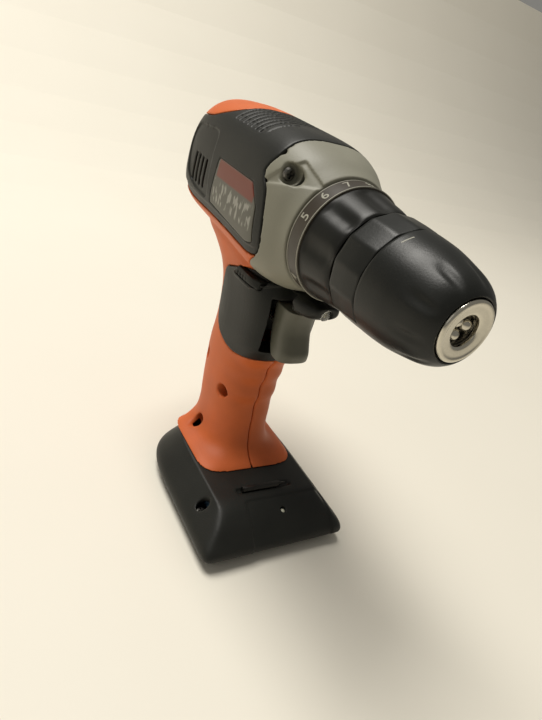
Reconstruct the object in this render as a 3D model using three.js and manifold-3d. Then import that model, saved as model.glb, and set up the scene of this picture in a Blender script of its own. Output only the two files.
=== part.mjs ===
// Pistol-grip cordless drill with a slim battery foot: millimetres, +X to the chuck, +Y to its left, +Z up.
// The origin is on the table, under the handle.
import * as THREE from "three";
import { mergeVertices } from "three/addons/utils/BufferGeometryUtils.js";
import Module from "manifold-3d";

const wasm = await Module();
wasm.setup();

// Driving dimensions
const AXIS = 154; // height of the chuck's axis above the table
const GAP = 0.3; // clearance between neighbouring pieces
const NOSE_X = 90.5; // front face of the chuck
const SLEEVE_SEAM_X = 57.1; // joint between the chuck's two sleeves
const CHUCK_REAR_X = 40.9;
const BAND_FRONT_X = 23; // front of the torque collar's number band
const CASE_FRONT_X = 14.2; // front face of the gear case
const WALL = 4.2; // from the outer surface to the hollow, cover included
const COVER = 2; // thickness of the pieces that lie on the housing
const SEAM = 0.15; // half the gap between the two housing halves
const MOUTH_R = 6.6;
const JAW_TILT = THREE.MathUtils.degToRad(15);
const JAW_R = 2.9;
const JAW_TIP_X = 88;
const JAW_TIP_ORBIT = 3; // distance from the chuck's axis to a jaw's axis at its tip
const JAW_LENGTH = 26.9;
const MODULE = 1.2; // gear module
const SUN_TEETH = 8;
const PLANET_TEETH = 10;
const RING_TEETH = 28;
const ORBIT = ((SUN_TEETH + PLANET_TEETH) * MODULE) / 2;
const CELL_R = 9.15;
const CELL_LENGTH = 65;

// Finishes
const finish = (color, roughness, metalness = 0) =>
  new THREE.MeshStandardMaterial({ color, roughness, metalness });
const ORANGE = finish(0xcf5a28, 0.55);
const BLACK = finish(0x2b2a27, 0.6);
const GREY = finish(0x8d8a7a, 0.6);
const STEEL = finish(0xb9b5ab, 0.25, 1);
const DARK_STEEL = finish(0x6a6862, 0.4, 1);
const RUBBER_GREY = finish(0x77756a, 0.65);

// ---- Solids -------------------------------------------------------------------------------

function solid(geometry) {
  const bare = geometry.index ? geometry.toNonIndexed() : geometry.clone();
  for (const name of Object.keys(bare.attributes))
    if (name !== "position") bare.deleteAttribute(name);
  const merged = mergeVertices(bare, 1e-4);
  const vertProperties = merged.attributes.position.array;
  const triVerts = new Uint32Array(merged.index.array);
  const made = new wasm.Manifold(new wasm.Mesh({ numProp: 3, vertProperties, triVerts }));
  if (made.volume() > 0) return made;
  triVerts.reverse(); // turns every face round
  return new wasm.Manifold(new wasm.Mesh({ numProp: 3, vertProperties, triVerts }));
}

function geometryOf(made) {
  const { vertProperties, triVerts } = made.getMesh();
  return new THREE.BufferGeometry()
    .setAttribute("position", new THREE.BufferAttribute(vertProperties, 3))
    .setIndex(new THREE.BufferAttribute(triVerts, 1));
}

const union = (...all) => all.reduce((a, b) => a.add(b));
const cut = (body, ...tools) => tools.reduce((a, b) => a.subtract(b), body);

// An outline of [x, z] points, extruded along Y from y0 to y1.
function prism(points, y0, y1) {
  const shape = new THREE.Shape(points.map(([x, z]) => new THREE.Vector2(x, z)));
  const made = new THREE.ExtrudeGeometry(shape, { depth: y1 - y0, bevelEnabled: false });
  return solid(made.rotateX(Math.PI / 2).translate(0, y1, 0));
}

function box(x0, x1, y0, y1, z0, z1) {
  const made = new THREE.BoxGeometry(x1 - x0, y1 - y0, z1 - z0);
  return solid(made.translate((x0 + x1) / 2, (y0 + y1) / 2, (z0 + z1) / 2));
}

// A closed [x, radius] profile turned about the X axis.
function turned(profile, segments = 32) {
  const points = profile.map(([x, r]) => new THREE.Vector2(r, x));
  if (profile[0][1] > 0) points.push(points[0].clone());
  return solid(new THREE.LatheGeometry(points, segments).rotateZ(-Math.PI / 2));
}

const disc = (x0, x1, r, segments = 32) =>
  turned([[x0, 0], [x0, r], [x1, r], [x1, 0]], segments);
const tube = (x0, x1, inner, outer, segments = 32) =>
  turned([[x0, inner], [x0, outer], [x1, outer], [x1, inner]], segments);

// A round bar from one point to another.
function bar(from, to, radius, segments = 14) {
  const a = new THREE.Vector3(...from);
  const b = new THREE.Vector3(...to);
  const turn = new THREE.Quaternion().setFromUnitVectors(
    new THREE.Vector3(0, 1, 0), b.clone().sub(a).normalize());
  const middle = a.clone().add(b).divideScalar(2);
  const made = new THREE.CylinderGeometry(radius, radius, a.distanceTo(b), segments);
  return solid(made.applyQuaternion(turn).translate(...middle));
}

// Skins the rings, which all have the same number of points, and closes both ends.
function loft(rings) {
  const count = rings[0].length;
  const points = rings.flat();
  const faces = [];
  for (let i = 0; i + 1 < rings.length; i++)
    for (let j = 0; j < count; j++) {
      const [a, b] = [i * count + j, i * count + ((j + 1) % count)];
      faces.push(a, b, b + count, a, b + count, a + count);
    }
  const ends = [[rings[0], 0, true], [rings.at(-1), points.length - count, false]];
  for (const [ring, start, flip] of ends) {
    const centre = points.length;
    points.push(ring.reduce((sum, p) => sum.add(p), new THREE.Vector3()).divideScalar(count));
    for (let j = 0; j < count; j++) {
      const [a, b] = [start + j, start + ((j + 1) % count)];
      faces.push(...(flip ? [centre, b, a] : [centre, a, b]));
    }
  }
  return solid(new THREE.BufferGeometry().setFromPoints(points).setIndex(faces));
}

// A point of a unit rounded square: power 2 is a circle, higher is squarer.
function rounded(angle, power) {
  const [c, s] = [Math.cos(angle), Math.sin(angle)];
  return [c, s].map((v) => Math.sign(v) * Math.abs(v) ** (2 / power));
}

const ringOf = (count, place) =>
  Array.from({ length: count }, (_, i) => place((2 * Math.PI * i) / count));

// ---- Outer form ---------------------------------------------------------------------------

// Motor body, rear to front: x, half width, height above the axis, depth below the axis, squareness.
const BODY = [
  [-93.5, 17, 21, 15, 2.3],
  [-92.2, 23.5, 27, 20.4, 2.4],
  [-89.4, 27.2, 31, 23.4, 2.6],
  [-83, 29.6, 33.6, 25.4, 2.7],
  [-68, 30.4, 34.8, 26.6, 2.7],
  [-40, 30.6, 34.8, 28, 2.7],
  [-18, 30.4, 34.2, 29.6, 2.9],
  [-7, 30, 33, 30.2, 2.9],
  [3, 28.3, 30.4, 29.6, 2.6],
  [9.6, 26.4, 27.8, 27.4, 2.3],
  [CASE_FRONT_X, 25.8, 26.2, 25.8, 2],
];

// An inner form is coarser than the outer one, and lies inside it.
const stationsFor = (table, inset) => (inset > 0 ? table.filter((_, i) => i % 2 === 0) : table);

function bodyForm(inset) {
  return loft(stationsFor(BODY, inset).map(([x, width, top, bottom, power], i) =>
    ringOf(inset > 0 ? 20 : 28, (angle) => {
      const [u, v] = rounded(angle, power);
      const height = (v > 0 ? top : bottom) - inset;
      return new THREE.Vector3(x + (i ? 0 : inset), u * (width - inset), AXIS + v * height);
    })));
}

// Handle, foot flange to motor body: z, rear x, front x, half width, squareness, front squareness.
const HANDLE = [
  [22.2, -39, 11.6, 28.6, 5, 5],
  [23.6, -38.8, 9.6, 26, 4.4, 4.4],
  [26, -42, 5.4, 20.4, 3.4, 3.4],
  [30, -43.6, 1.8, 17.4, 2.8, 2.8],
  [38, -44.6, -1.2, 16.6, 2.6, 2.6],
  [46, -46, -2.4, 17, 2.5, 2.5],
  [53, -47, -4, 17.2, 2.5, 2.5],
  [59, -48, -3, 17.4, 2.5, 2.5],
  [65, -48.8, -4, 17.5, 2.5, 2.5],
  [71, -49.4, -2.4, 17.6, 2.5, 2.5],
  [77, -49.6, -2.4, 17.6, 2.5, 2.5],
  [83, -49.6, 0.6, 17.6, 2.5, 3],
  [91, -50, 3.4, 17.7, 2.5, 4.2],
  [100, -51.6, 3.6, 17.8, 2.5, 4.4],
  [109, -54.6, 3.2, 18.2, 2.5, 4.4],
  [117, -61, 2, 19, 2.5, 4],
  [124, -71, 0, 20.5, 2.5, 3],
  [130, -81, -4, 22, 2.5, 2.5],
  [140, -85, -8, 22.5, 2.5, 2.5],
];

function handleForm(inset) {
  return loft(stationsFor(HANDLE, inset).map(([z, rear, front, width, power, frontPower], i) =>
    ringOf(inset > 0 ? 16 : 24, (angle) => {
      const [u, v] = rounded(angle, Math.cos(angle) > 0 ? frontPower : power);
      const [middle, half] = [(rear + front) / 2, (front - rear) / 2 - inset];
      const lift = i || inset <= 0 ? 0 : -1; // an inner form opens through the flange
      return new THREE.Vector3(middle + u * half, v * (width - inset), z + lift);
    })));
}

// Battery foot, table to top: z, rear x, front x, half width.
const FOOT = [
  [3.2, -40.2, 46.8, 40.2],
  [5.6, -41.4, 51, 41.1],
  [7.6, -41.8, 51.4, 41.3],
  [10, -41.6, 50.2, 40.4],
  [12.6, -40.8, 47.6, 38.2],
  [16.6, -39, 43.2, 34.2],
  [19.9, -37.4, 37.6, 30.8],
  [21.4, -36.4, 33.4, 29.4],
  [21.9, -35.6, 29.6, 28.6],
];
const FOOT_FRONT_POWER = 22;
const FOOT_REAR_POWER = 3.6;

function footForm(inset) {
  return loft(FOOT.map(([z, rear, front, width], i) =>
    ringOf(inset > 0 ? 20 : 32, (angle) => {
      const [u, v] = rounded(angle, Math.cos(angle) > 0 ? FOOT_FRONT_POWER : FOOT_REAR_POWER);
      const middle = (rear + front) / 2;
      const end = (front - rear) / 2 - inset;
      const drop = i ? inset : inset > 0 ? 1 : 0; // an inner form is lower, and open below
      return new THREE.Vector3(middle + u * end, v * (width - inset), z - drop);
    })));
}

// Front edge of the black cover, from below the handle to over the crown: x, z.
const CASE_EDGE = [
  [-13, 116], [-12.4, 127], [-8.5, 132], [-3.6, 136], [-0.6, 139.5], [0.4, 144], [-0.4, 150],
  [-2.2, 158], [-4.4, 165], [-9.6, 169.6], [-10, 173], [-7.4, 179], [-8.6, 184.6], [-8.6, 195],
];
const CASE_AREA = [...CASE_EDGE, [30, 195], [30, 116]];

const COVER_AREA = [
  ...CASE_EDGE.slice(3),
  [-57, 195], [-57.6, 187.4], [-61.4, 184.6], [-68, 181.4], [-76, 177.8], [-92, 175.6], [-91, 168],
  [-90, 155], [-84.6, 145.6],
  [-75, 141.4], [-52, 139], [-30.7, 137.4], [-11, 135.6],
];

// Black trigger surround on both sides of the upper handle.
const SURROUND_AREA = [
  [-39.4, 101.6], [-38.6, 94.5], [-35.4, 88], [-29.6, 83.8], [-22, 81.6], [-13, 81], [-3, 83], [12, 87.6],
  [12, 126], [-14, 126], [-21, 123.6], [-30.5, 119.6], [-37, 117.4], [-38.9, 110],
];

// Data plate on each side of the cover.
const LABEL_AREA = [
  [-48.5, 164.6], [-14.6, 164.6], [-7.4, 156.4], [-4.6, 141.4], [-9.6, 140], [-50, 143.4],
];

const shrunk = (area, factor) => {
  const extent = new THREE.Box2().setFromPoints(area.map(([x, z]) => new THREE.Vector2(x, z)));
  const middle = extent.getCenter(new THREE.Vector2());
  const toMiddle = (value, centre) => centre + (value - centre) * factor;
  return area.map(([x, z]) => [toMiddle(x, middle.x), toMiddle(z, middle.y)]);
};
const moved = (area, dx) => area.map(([x, z]) => [x + dx, z]);
const everyY = (area) => prism(area, -60, 60);

// ---- Housing, covers and gear case --------------------------------------------------------

const body = bodyForm(0);
const handle = handleForm(0);
const hollow = union(bodyForm(WALL), handleForm(WALL));
const underCover = bodyForm(COVER + GAP);
const underSurround = handleForm(COVER + GAP);
const labelSeat = everyY(LABEL_AREA);

// Openings for the trigger and for the direction selector
const TRIGGER = { bottom: 91.4, half: 8.6, rear: -4 };
const triggerSlot = box(-14, 20, -TRIGGER.half - 0.5, TRIGGER.half + 0.5, TRIGGER.bottom - 0.6, 118);
const TRIGGER_WELL = { x: -4.5, half: 13, bottom: 90.8, top: 118 }; // the recess round the trigger
const WELL_WALL = 2.6;
const wellBox = (around, above) => box(
  TRIGGER_WELL.x - around, 20, -TRIGGER_WELL.half - around, TRIGGER_WELL.half + around,
  TRIGGER_WELL.bottom - around, TRIGGER_WELL.top + above);
const triggerWell = wellBox(0, 0);
const SELECTOR = { x0: -23.5, x1: -5, z0: 119.4, z1: 123.1 };
const selectorSlot = box(
  SELECTOR.x0 - GAP, SELECTOR.x1 + GAP, -30, 30, SELECTOR.z0 - GAP, SELECTOR.z1 + GAP);

// Screws that pull the halves together: x, z, outer face of the head
const HANDLE_SCREWS = [[-14.6, 56, 13], [-38.6, 65, 11.4], [-25.4, 28, 14.6]];
const HEAD_R = 2.7;
const HEAD_DEPTH = 3; // from the boss's face down to the head
const screwBosses = HANDLE_SCREWS.map(([x, z, head]) => bar([x, -head, z], [x, head, z], 5));
const screwHoles = HANDLE_SCREWS.map(([x, z, head]) =>
  union(bar([x, -30, z], [x, HEAD_DEPTH - head, z], HEAD_R + 0.8), bar([x, -20, z], [x, 9.2, z], 1.6)));

// Cooling slots behind the motor
const VENT_X = [-62, -66.5, -71, -75.5];
const vents = VENT_X.map((x) => box(x - 0.9, x + 0.9, -60, 60, 146, 160));

const shell = cut(
  union(
    cut(union(body, handle), hollow),
    cut(union(...screwBosses).intersect(handle), box(-60, 20, -SEAM, SEAM, 0, 90))),
  cut(everyY(COVER_AREA), underCover),
  cut(everyY(SURROUND_AREA), underSurround, bodyForm(-GAP)),
  everyY(moved(CASE_AREA, -0.05)).intersect(box(-20, 40, -60, 60, 122.6, 200)),
  box(-60, 20, -20, 20, 0, 22),
  wellBox(WELL_WALL + GAP, GAP), selectorSlot, ...vents, ...screwHoles);
const rightSide = box(-200, 200, -200, -SEAM, -10, 300);
const leftSide = box(-200, 200, SEAM, 200, -10, 300);

const cover = cut(
  body.intersect(everyY(shrunk(COVER_AREA, 0.992))),
  bodyForm(COVER), cut(labelSeat, bodyForm(0.9)), ...vents);
const label = cut(body.intersect(everyY(shrunk(LABEL_AREA, 0.985))), bodyForm(0.6));

// Screw pockets in the gear case, open to the front
const CASE_SCREWS = [-1, 1].map((side) => ({ x: -2, y: side * 22.8, z: AXIS + 19 }));
const casePockets = CASE_SCREWS.map(({ x, y, z }) => bar([x, y, z], [40, y * 1.2, z + 3], 3.8));
const caseScrewBores = CASE_SCREWS.map(({ x, y, z }) => bar([-30, y, z], [x + 1, y, z], 1.7));
const casePads = CASE_SCREWS.map(({ x, y, z }) => bar([-9, y, z], [x + 4, y, z], 5));

const CASE_WALL = 2.6;
const caseForm = body.intersect(everyY(moved(CASE_AREA, GAP)));
const gearCase = cut(
  union(
    cut(caseForm, bodyForm(CASE_WALL).intersect(box(-30, CASE_FRONT_X - CASE_WALL + GAP, -60, 60, 0, 300))),
    union(...casePads).intersect(caseForm)),
  disc(-30, 40, 21.4).translate(0, 0, AXIS),
  ...casePockets, ...caseScrewBores);

const surround = cut(
  union(
    cut(handleForm(-0.6).intersect(everyY(shrunk(SURROUND_AREA, 0.985))), handleForm(COVER)),
    wellBox(WELL_WALL, 0).intersect(handleForm(0))),
  bodyForm(-GAP), triggerWell, triggerSlot, selectorSlot);

// Lamp housing under the gear case: a rounded snout
const LAMP = { x: 25, z: 122.4, half: 10.4, height: 5.2 };
// x, how much narrower than the root
const SNOUT = [[-6, 0], [8, 0], [16, 0.4], [21, 1.6], [24, 3.8], [LAMP.x, 5.6]];
const lampForm = loft(SNOUT.map(([x, shrink]) => ringOf(28, (angle) => {
  const [u, v] = rounded(angle, 2.6);
  const lift = shrink * 0.3; // the underside rises towards the front
  return new THREE.Vector3(
    x, u * (LAMP.half - shrink), LAMP.z + v * (LAMP.height - shrink * 0.5) + lift);
})));
const lampBore = bar([12, 0, LAMP.z], [40, 0, LAMP.z], 3);
const lampHousing = cut(
  lampForm, bodyForm(-GAP), handleForm(0.9), everyY(SURROUND_AREA), lampBore,
  disc(-30, 14, 21.4).translate(0, 0, AXIS));

// ---- Trigger, switch and selector ---------------------------------------------------------

const TRIGGER_Z = 104; // height of the switch's plunger and its spring
// z, front x
const TRIGGER_FRONT = [
  [TRIGGER.bottom, 14], [92.4, 15.6], [96, 16], [100, 14.2], [105, 12], [110, 11.2], [114, 11.6],
  [116.2, 12.4],
];
const trigger = cut(
  loft(TRIGGER_FRONT.map(([z, front]) => ringOf(24, (angle) => {
    const [u, v] = rounded(angle, Math.cos(angle) > 0 ? 2.8 : 8);
    const middle = (TRIGGER.rear + front) / 2;
    return new THREE.Vector3(middle + (u * (front - TRIGGER.rear)) / 2, v * TRIGGER.half, z);
  }))),
  bar([-10, 0, TRIGGER_Z], [3, 0, TRIGGER_Z], 5));

const SWITCH_X = -13;
const switchModule = union(
  box(-38, SWITCH_X, -9.6, 9.6, 94, 110),
  bar([-14, 0, TRIGGER_Z], [SWITCH_X + 8, 0, TRIGGER_Z], 2, 16));

// A round wire wound about the X axis.
function spring(x0, x1, radius, wire, turns, stepsPerTurn = 14) {
  const path = new THREE.CatmullRomCurve3(
    Array.from({ length: turns * stepsPerTurn + 1 }, (_, i) => {
      const angle = (2 * Math.PI * i) / stepsPerTurn;
      const x = x0 + ((x1 - x0) * i) / (turns * stepsPerTurn);
      return new THREE.Vector3(x, radius * Math.cos(angle), radius * Math.sin(angle));
    }));
  const shape = new THREE.Shape().absarc(0, 0, wire, 0, 2 * Math.PI);
  return solid(new THREE.ExtrudeGeometry(shape, {
    steps: turns * stepsPerTurn, extrudePath: path, curveSegments: 3, bevelEnabled: false,
  }));
}

const selector = box(SELECTOR.x0, SELECTOR.x1, -30, 30, SELECTOR.z0, SELECTOR.z1)
  .intersect(handleForm(0.7));

// ---- Drive train, on the chuck's axis -----------------------------------------------------

// A toothed outline about the X axis, one tooth centred on +Y.
function toothed(teeth, x0, x1, deepen = 0) {
  const pitch = (teeth * MODULE) / 2;
  const [tip, root] = [pitch + 0.55 * MODULE + deepen, pitch - 0.8 * MODULE + deepen];
  const step = (2 * Math.PI) / teeth;
  const widen = deepen / pitch;
  const points = Array.from({ length: teeth }, (_, i) =>
    [[-0.3, root], [-0.13, tip], [0.13, tip], [0.3, root]].map(([share, r]) => {
      const angle = step * (i + share) + Math.sign(share) * widen;
      return new THREE.Vector2(r * Math.cos(angle), r * Math.sin(angle));
    })).flat();
  const made = new THREE.ExtrudeGeometry(new THREE.Shape(points), { depth: x1 - x0, bevelEnabled: false });
  const toAxis = new THREE.Matrix4().makeBasis(
    new THREE.Vector3(0, 1, 0), new THREE.Vector3(0, 0, 1), new THREE.Vector3(1, 0, 0));
  return solid(made.applyMatrix4(toAxis).translate(x0, 0, 0));
}

const PIN_R = 1.5;
const ORBIT_ANGLES = [0, 1, 2].map((k) => (2 * Math.PI * k) / 3);

// Two planet stages: ring gear x, planet x, carrier plate x.
const STAGES = [
  { ring: [-13, -5], planet: [-12.6, -5.4], plate: [-4.5, -2.3] },
  { ring: [-1.8, 6.2], planet: [-1.4, 5.8], plate: [6.8, 9.8] },
];

const ringGear = ({ ring: [x0, x1] }) =>
  cut(
    disc(x0, x1, 18.8),
    toothed(RING_TEETH, x0 - 1, x1 + 1, 0.16).rotate([180 / RING_TEETH, 0, 0])); // its tooth on +Y
const planetGear = ({ planet: [x0, x1] }) =>
  cut(toothed(PLANET_TEETH, x0, x1), disc(x0 - 1, x1 + 1, PIN_R + 0.15, 16));
const carrier = ({ planet, plate }) => union(
  disc(plate[0], plate[1], 13.2, 36),
  ...ORBIT_ANGLES.map((angle) => {
    const [y, z] = [ORBIT * Math.cos(angle), ORBIT * Math.sin(angle)];
    return bar([planet[0] + 0.4, y, z], [plate[0] + 0.5, y, z], PIN_R, 14);
  }));

const motorCan = cut(
  union(disc(-74, -19.5, 18.6), disc(-78, -74, 6, 24), disc(-19.5, -16.8, 6.4, 24)),
  disc(-40, -10, 2, 16));
const pinion = union(disc(-38, -13, 1.6, 16), toothed(SUN_TEETH, -14, -5.2));
const firstCarrier = union(carrier(STAGES[0]), toothed(SUN_TEETH, -3, 6.2));
const spindle = union(carrier(STAGES[1]), disc(9, 45, 5, 32));

const CLUTCH_PIN_ORBIT = 17;
const gearbox = cut(
  union(tube(-14.6, 13.4, 19.2, 21), tube(10.8, 13.4, 8.6, 20), tube(13, 36, 8.6, 13)),
  ...ORBIT_ANGLES.map((angle) => {
    const [y, z] = [CLUTCH_PIN_ORBIT * Math.cos(angle), CLUTCH_PIN_ORBIT * Math.sin(angle)];
    return bar([12, y, z], [20, y, z], 1.2, 12);
  }));
const bearing = tube(27, 34, 5.25, 8.3);

// ---- Torque collar ------------------------------------------------------------------------

const COLLAR = [[23.2, 24.2], [25, 24], [31, 23.2], [37, 22.4], [39.4, 21.8], [40.3, 21]];
const LOBES = 9;
const collarForm = loft(COLLAR.map(([x, radius], i) => ringOf(LOBES * 5, (angle) => {
  const scallop = [0, 0.9, 1.3, 1.3, 0.8, 0][i];
  const r = radius - scallop * (0.5 - 0.5 * Math.cos(LOBES * angle)) ** 2;
  return new THREE.Vector3(x, r * Math.cos(angle), r * Math.sin(angle));
})));
const collar = union(
  cut(collarForm, disc(20, 38, 18.8), disc(30, 50, 15)),
  tube(15, 24, 18.8, 21.4));
const numberBand = tube(CASE_FRONT_X + 0.4, BAND_FRONT_X, 21.8, 25.2, 36);

// ---- Chuck --------------------------------------------------------------------------------

// Direction in which a jaw closes: forward and towards the axis, from +Z.
const jawAxis = new THREE.Vector3(Math.cos(JAW_TILT), 0, -Math.sin(JAW_TILT));
function jawBar(radius, ahead, behind, segments) {
  const tip = new THREE.Vector3(JAW_TIP_X, 0, JAW_TIP_ORBIT);
  const [from, to] = [-behind, ahead].map((s) => tip.clone().addScaledVector(jawAxis, s).toArray());
  return bar(from, to, radius, segments);
}
const wedge = prism([[0, 0.35], [100, 0.35], [100, 40], [0, 40]], -40, 40)
  .intersect(solid(new THREE.ExtrudeGeometry(
    new THREE.Shape([[0, 0.35], [-40, 23.4], [-40, 60], [40, 60], [40, 23.4]]
      .map(([y, z]) => new THREE.Vector2(y, z))), { depth: 120, bevelEnabled: false })
    .applyMatrix4(new THREE.Matrix4().makeBasis(
      new THREE.Vector3(0, 1, 0), new THREE.Vector3(0, 0, 1), new THREE.Vector3(1, 0, 0)))));
const jaw = jawBar(JAW_R, 3, JAW_LENGTH, 16).intersect(wedge).intersect(disc(0, JAW_TIP_X, 40));

const JAW_ANGLES = ORBIT_ANGLES.map((angle) => angle + Math.PI / 4);
const about = (made, angle) => made.rotate([THREE.MathUtils.radToDeg(angle), 0, 0]);
const chuckBody = cut(
  turned([[36.6, 5.4], [36.6, 9], [47.6, 9], [49, 15], [78, 15], [84, 11.4], [87.4, 11.4], [87.4, 5.4]]),
  disc(46, 49, 5.5, 32), disc(60, 95, 5.6, 32),
  ...JAW_ANGLES.map((angle) => about(jawBar(JAW_R + 0.4, 8, 60, 12), angle)));
const noseRing = turned([
  [87.7, MOUTH_R], [87.7, 12], [89.2, 12], [90.1, 11.6], [NOSE_X, 10.8], [NOSE_X, 7.6], [90, MOUTH_R]]);
const jawNut = tube(57.6, 64.6, 15.4, 18.2);
const rearSleeve = turned([
  [CHUCK_REAR_X, 9.3], [CHUCK_REAR_X, 21.2], [42.4, 22.3], [50, 22.2], [SLEEVE_SEAM_X - GAP, 21.8],
  [SLEEVE_SEAM_X - GAP, 19.6], [43.4, 19.6], [43.4, 9.3]], 32);
const frontSleeve = turned([
  [SLEEVE_SEAM_X, 18.6], [SLEEVE_SEAM_X, 21.7], [63, 21.4], [69, 20.8], [76, 19.4], [82, 17.9],
  [86, 16.1], [88.4, 14.2], [89.4, 12.9], [89.2, 12.4], [84.4, 12.4], [80.4, 15.5],
  [66, 15.5], [65, 18.6]], 32);

// ---- Battery foot -------------------------------------------------------------------------

const CELLS_X = -32;
const CELL_Z = 10.9;
const CELL_Y = [-1, 0, 1].map((i) => i * (2 * CELL_R + GAP));
const FOOT_SCREWS = [-1, 1].map((side) => ({ x: 25, y: side * 33.4 }));
const LED = { x: 38.5, y: 5.6 };
const SOCKET = { x: -8, z: 8.6, face: 37.4 };
const DRIVER_BIT = { x: 25, half: 13, z: 22.6 };

const driverBitEnds = (spare) =>
  [-1, 1].map((side) => [DRIVER_BIT.x, side * (DRIVER_BIT.half + spare), DRIVER_BIT.z]);

const FOOT_WALL = 1.7;
const FOOT_HEAD_Z = 12.6; // top of a foot screw's head
const footBosses = FOOT_SCREWS.map(({ x, y }) => bar([x, y, 4.4], [x, y, 15], 4.4, 20));

const footHousing = cut(
  union(cut(footForm(0), footForm(FOOT_WALL)), union(...footBosses).intersect(footForm(0))),
  ...CELL_Y.map((y) =>
    disc(CELLS_X - GAP, CELLS_X + CELL_LENGTH + GAP, CELL_R + GAP).translate(0, y, CELL_Z)),
  box(-30, -4, -9, 9, 10, 40),
  bar(...driverBitEnds(3), 2.1),
  bar([LED.x, LED.y, 0], [LED.x, LED.y, 40], 1.5, 16),
  bar([SOCKET.x, 30, SOCKET.z], [SOCKET.x, 60, SOCKET.z], 4.5, 20),
  ...FOOT_SCREWS.flatMap(({ x, y }) => [
    bar([x, y, FOOT_HEAD_Z - 2], [x, y, 40], HEAD_R + GAP, 20), bar([x, y, 0], [x, y, 20], 1.6)]));

// Cover plate under the foot: z, rear x, front x, half width.
const BASE = [[0, -36.6, 43, 36], [1, -37.6, 44, 37], [4, -38, 44.2, 37.4]];
const baseForm = loft(BASE.map(([z, rear, front, width]) => ringOf(32, (angle) => {
  const [u, v] = rounded(angle, Math.cos(angle) > 0 ? FOOT_FRONT_POWER : FOOT_REAR_POWER);
  return new THREE.Vector3((rear + front) / 2 + (u * (front - rear)) / 2, v * width, z);
})));
const baseCover = cut(baseForm, box(CELLS_X - 0.4, CELLS_X + CELL_LENGTH + 0.4, -28.2, 28.2, 1.5, 10));

// ---- Assembly -----------------------------------------------------------------------------

const drill = new THREE.Group();
function place(name, made, material, parent = drill) {
  const mesh = new THREE.Mesh(geometryOf(made), material.clone());
  mesh.name = name;
  parent.add(mesh);
  return mesh;
}

for (const [side, half] of [["right", rightSide], ["left", leftSide]]) {
  place(`housing_${side}`, shell.intersect(half), ORANGE);
  place(`trigger_surround_${side}`, surround.intersect(half), BLACK);
  place(`data_plate_${side}`, label.intersect(half), GREY);
}
place("motor_cover", cover, BLACK);
place("gear_case", gearCase, GREY);
place("lamp_housing", lampHousing, BLACK);
place("lamp_lens", bar([22, 0, LAMP.z], [24.6, 0, LAMP.z], 2.7), finish(0xe8e8e0, 0.1));
place("lamp_led", bar([16, 0, LAMP.z], [21, 0, LAMP.z], 2.4), finish(0xf4f2d8, 0.2));
place("trigger", trigger, RUBBER_GREY);
place("switch_module", switchModule, BLACK);
const triggerSpring = place("trigger_spring", spring(SWITCH_X + 0.8, 2.2, 3.5, 0.45, 5, 10), STEEL);
triggerSpring.position.z = TRIGGER_Z;
place("direction_selector", selector, BLACK);

const HEAD_HEIGHT = 1.7;
const head = [[-HEAD_HEIGHT, 0], [-HEAD_HEIGHT, HEAD_R], [0, HEAD_R], [0, 0]];
const screw = (length) => union(turned(head, 12), disc(-length, -1.2, 1.3, 6));
for (const [i, [x, z, face]] of HANDLE_SCREWS.entries()) {
  const mesh = place(`handle_screw_${i + 1}`, screw(face + 5.4 - HEAD_DEPTH), DARK_STEEL);
  mesh.position.set(x, HEAD_DEPTH - face - GAP - HEAD_HEIGHT, z);
  mesh.rotation.z = -Math.PI / 2;
}
for (const [i, { x, y, z }] of CASE_SCREWS.entries())
  place(`gear_case_screw_${i + 1}`, screw(9), DARK_STEEL).position.set(x + GAP + HEAD_HEIGHT, y, z);
for (const [i, { x, y }] of FOOT_SCREWS.entries()) {
  const mesh = place(`foot_screw_${i + 1}`, screw(5), DARK_STEEL);
  mesh.position.set(x, y, FOOT_HEAD_Z);
  mesh.rotation.y = -Math.PI / 2;
}

const drive = new THREE.Group();
drive.position.z = AXIS;
drill.add(drive);
place("motor", motorCan, DARK_STEEL, drive);
place("motor_pinion", pinion, STEEL, drive);
place("first_carrier", firstCarrier, STEEL, drive);
place("spindle", spindle, STEEL, drive);
place("gearbox_housing", gearbox, finish(0x9a978c, 0.5, 0.8), drive);
place("spindle_bearing", bearing, STEEL, drive);
for (const [i, stage] of STAGES.entries()) {
  place(`ring_gear_${i + 1}`, ringGear(stage), DARK_STEEL, drive);
  for (const [k, angle] of ORBIT_ANGLES.entries()) {
    const gear = place(`planet_gear_${i + 1}${"abc"[k]}`, planetGear(stage), STEEL, drive);
    gear.position.set(0, ORBIT * Math.cos(angle), ORBIT * Math.sin(angle));
    const sunPhase = (SUN_TEETH * angle) / (2 * Math.PI); // where the sun's teeth stand below this planet
    gear.rotation.x = angle + Math.PI - ((0.5 - sunPhase) * 2 * Math.PI) / PLANET_TEETH;
  }
}
place("clutch_spring", spring(16, 33, 15.6, 1, 4, 14), STEEL, drive);
place("torque_collar", collar, BLACK, drive);
place("number_band", numberBand, finish(0x3a342c, 0.5), drive);
place("chuck_body", chuckBody, STEEL, drive);
place("nose_ring", noseRing, STEEL, drive);
place("rear_sleeve", rearSleeve, BLACK, drive);
place("front_sleeve", frontSleeve, BLACK, drive);
place("jaw_nut", jawNut, STEEL, drive);
for (const [k, angle] of JAW_ANGLES.entries())
  place(`jaw_${k + 1}`, jaw, STEEL, drive).rotation.x = angle;

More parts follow.
